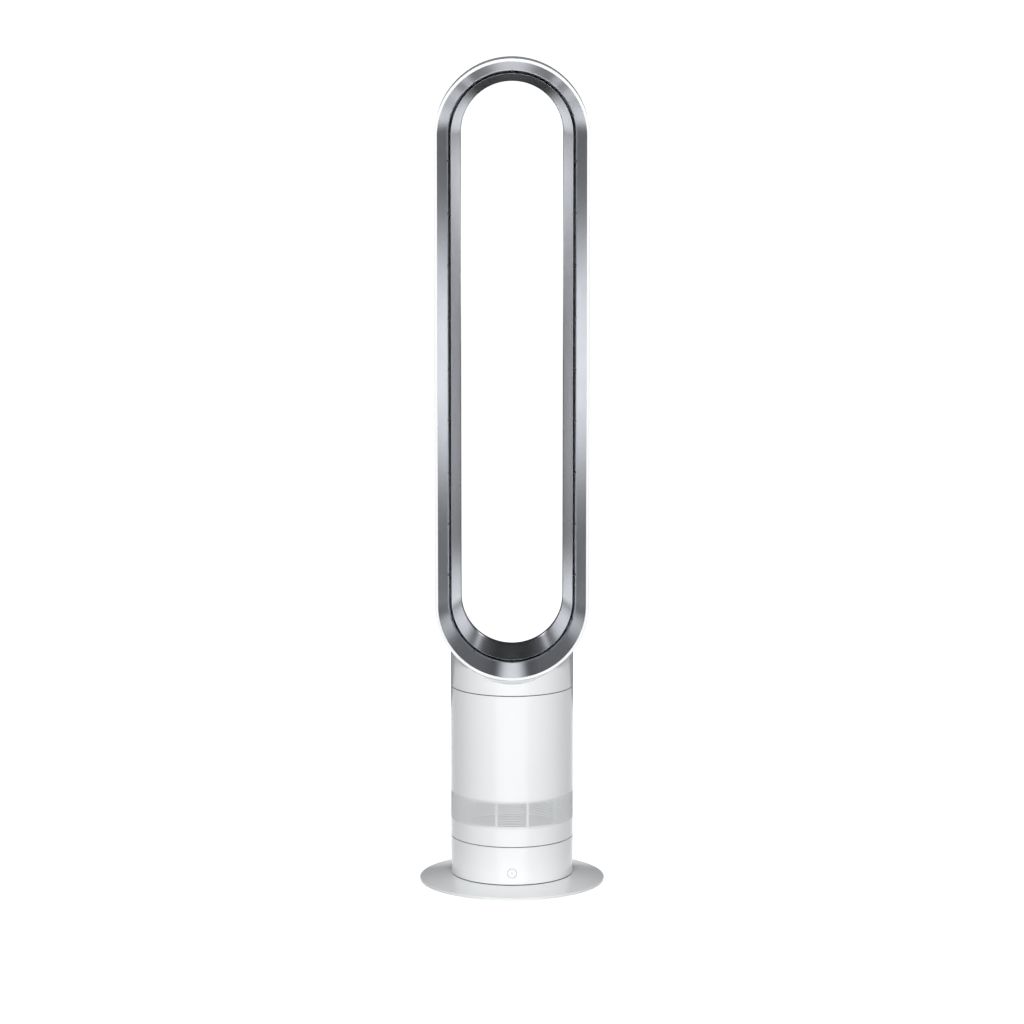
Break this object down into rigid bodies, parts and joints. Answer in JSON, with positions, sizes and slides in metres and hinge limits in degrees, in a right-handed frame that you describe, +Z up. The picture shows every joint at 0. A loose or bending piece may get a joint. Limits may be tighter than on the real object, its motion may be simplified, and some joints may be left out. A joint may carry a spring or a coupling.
{
  "type": "bladeless tower fan",
  "caption": "Floor-standing bladeless fan: a tall oval air loop on a round white body with a perforated inlet band, a flush power button and a thin floor disc; the body swivels.",
  "frame": {"origin": "middle of the round footprint, on the floor", "axes": "+Z up, -Y towards the user (the air's way out), +X to the fan's left as it faces the user"},
  "size_m": [0.226, 0.226, 1.0069],
  "materials": {
    "white_casing": "polished white ABS",
    "silver_band": "metallised silver lacquer with a fine brushed grain",
    "perforated_band": "white powder-coated perforated sheet",
    "foot_rubber": "matt black rubber",
    "seal_rubber": "dark grey soft seal",
    "inner_plastic": "moulded dark grey",
    "cover_plastic": "moulded mid grey",
    "impeller_plastic": "glass-filled nylon",
    "gear_acetal": "natural acetal",
    "bearing_steel": "ground",
    "zinc_fasteners": "zinc plated",
    "ballast_steel": "plain steel plate",
    "motor_can": "zinc-plated drawn can",
    "magnet": "sintered, nickel plated",
    "lamination": "stacked silicon steel",
    "copper": "enamelled copper wire",
    "circuit_board": "green solder mask",
    "components": "moulded black parts",
    "foam": "open-cell grey foam"
  },
  "bodies": {
    "base": {"rubber_foot": "foot_rubber", "bottom_cover": "cover_plastic", "base_disc": "white_casing", "ballast_ring": "ballast_steel", "ballast_screws": "zinc_fasteners", "lower_casing_seal": "seal_rubber", "lower_casing": "white_casing", "cord_gland": "seal_rubber", "tactile_switch": "components", "control_board": "circuit_board", "signal_receiver": "components", "mains_board": "circuit_board", "mains_components": "components", "deck": "inner_plastic", "deck_screws": "zinc_fasteners", "pivot_bush": "gear_acetal", "swivel_motor": "motor_can", "lower_race": "bearing_steel"},
    "button": {"power_button": "white_casing", "switch_plunger": "gear_acetal"},
    "pinion": {"drive_pinion": "gear_acetal"},
    "cage": {"ball_cage": "inner_plastic", "race_balls": "bearing_steel"},
    "upper": {"air_guides": "inner_plastic", "bellmouth": "inner_plastic", "blower_housing": "inner_plastic", "bucket_foam": "foam", "diffuser_vanes": "inner_plastic", "floor_foam": "foam", "housing_seal": "seal_rubber", "inlet_grille": "perforated_band", "loop_casing": "white_casing", "loop_front_ring": "silver_band", "loop_inner_ring_lower": "silver_band", "loop_inner_ring_upper": "silver_band", "loop_rear_cover": "silver_band", "loop_seam_seal": "seal_rubber", "main_casing": "white_casing", "motor_bearings": "bearing_steel", "motor_board": "circuit_board", "motor_bucket_lower": "inner_plastic", "motor_bucket_upper": "inner_plastic", "neck": "white_casing", "neck_screw": "zinc_fasteners", "neck_seal": "seal_rubber", "retaining_clip": "zinc_fasteners", "ring_gear": "gear_acetal", "rubber_mounts": "seal_rubber", "slot_spacers": "cover_plastic", "stator_coils": "copper", "stator_core": "lamination", "support_posts": "zinc_fasteners", "turntable": "inner_plastic", "turntable_screws": "zinc_fasteners", "upper_race": "bearing_steel"},
    "rotor": {"impeller": "impeller_plastic", "motor_shaft": "bearing_steel", "rotor_magnet": "magnet", "impeller_nut": "zinc_fasteners"}
  },
  "joints": [
    {"name": "oscillation", "type": "hinge", "parent": "base", "child": "upper", "pos_m": [0, 0, 0.05], "axis": [0, 0, 1], "range_deg": [-35, 35]},
    {"name": "cage_turn", "type": "hinge", "parent": "base", "child": "cage", "pos_m": [0, 0, 0.05], "axis": [0, 0, 1], "range_deg": [-18, 18]},
    {"name": "pinion_spin", "type": "hinge", "parent": "base", "child": "pinion", "pos_m": [-0.0435, 0, 0.05], "axis": [0, 0, 1], "range_deg": [-181, 181]},
    {"name": "impeller_spin", "type": "hinge", "parent": "upper", "child": "rotor", "pos_m": [0, 0, 0.14], "axis": [0, 0, 1], "continuous": true},
    {"name": "power_button_press", "type": "slide", "parent": "base", "child": "button", "axis": [0, 1, 0], "range_m": [0, 0.001], "stiffness_N_per_m": 500, "springref_m": -0.0005}
  ],
  "couplings": [
    {"joint": "cage_turn", "follows": "oscillation", "ratio": 0.5},
    {"joint": "pinion_spin", "follows": "oscillation", "ratio": 5.1429}
  ]
}
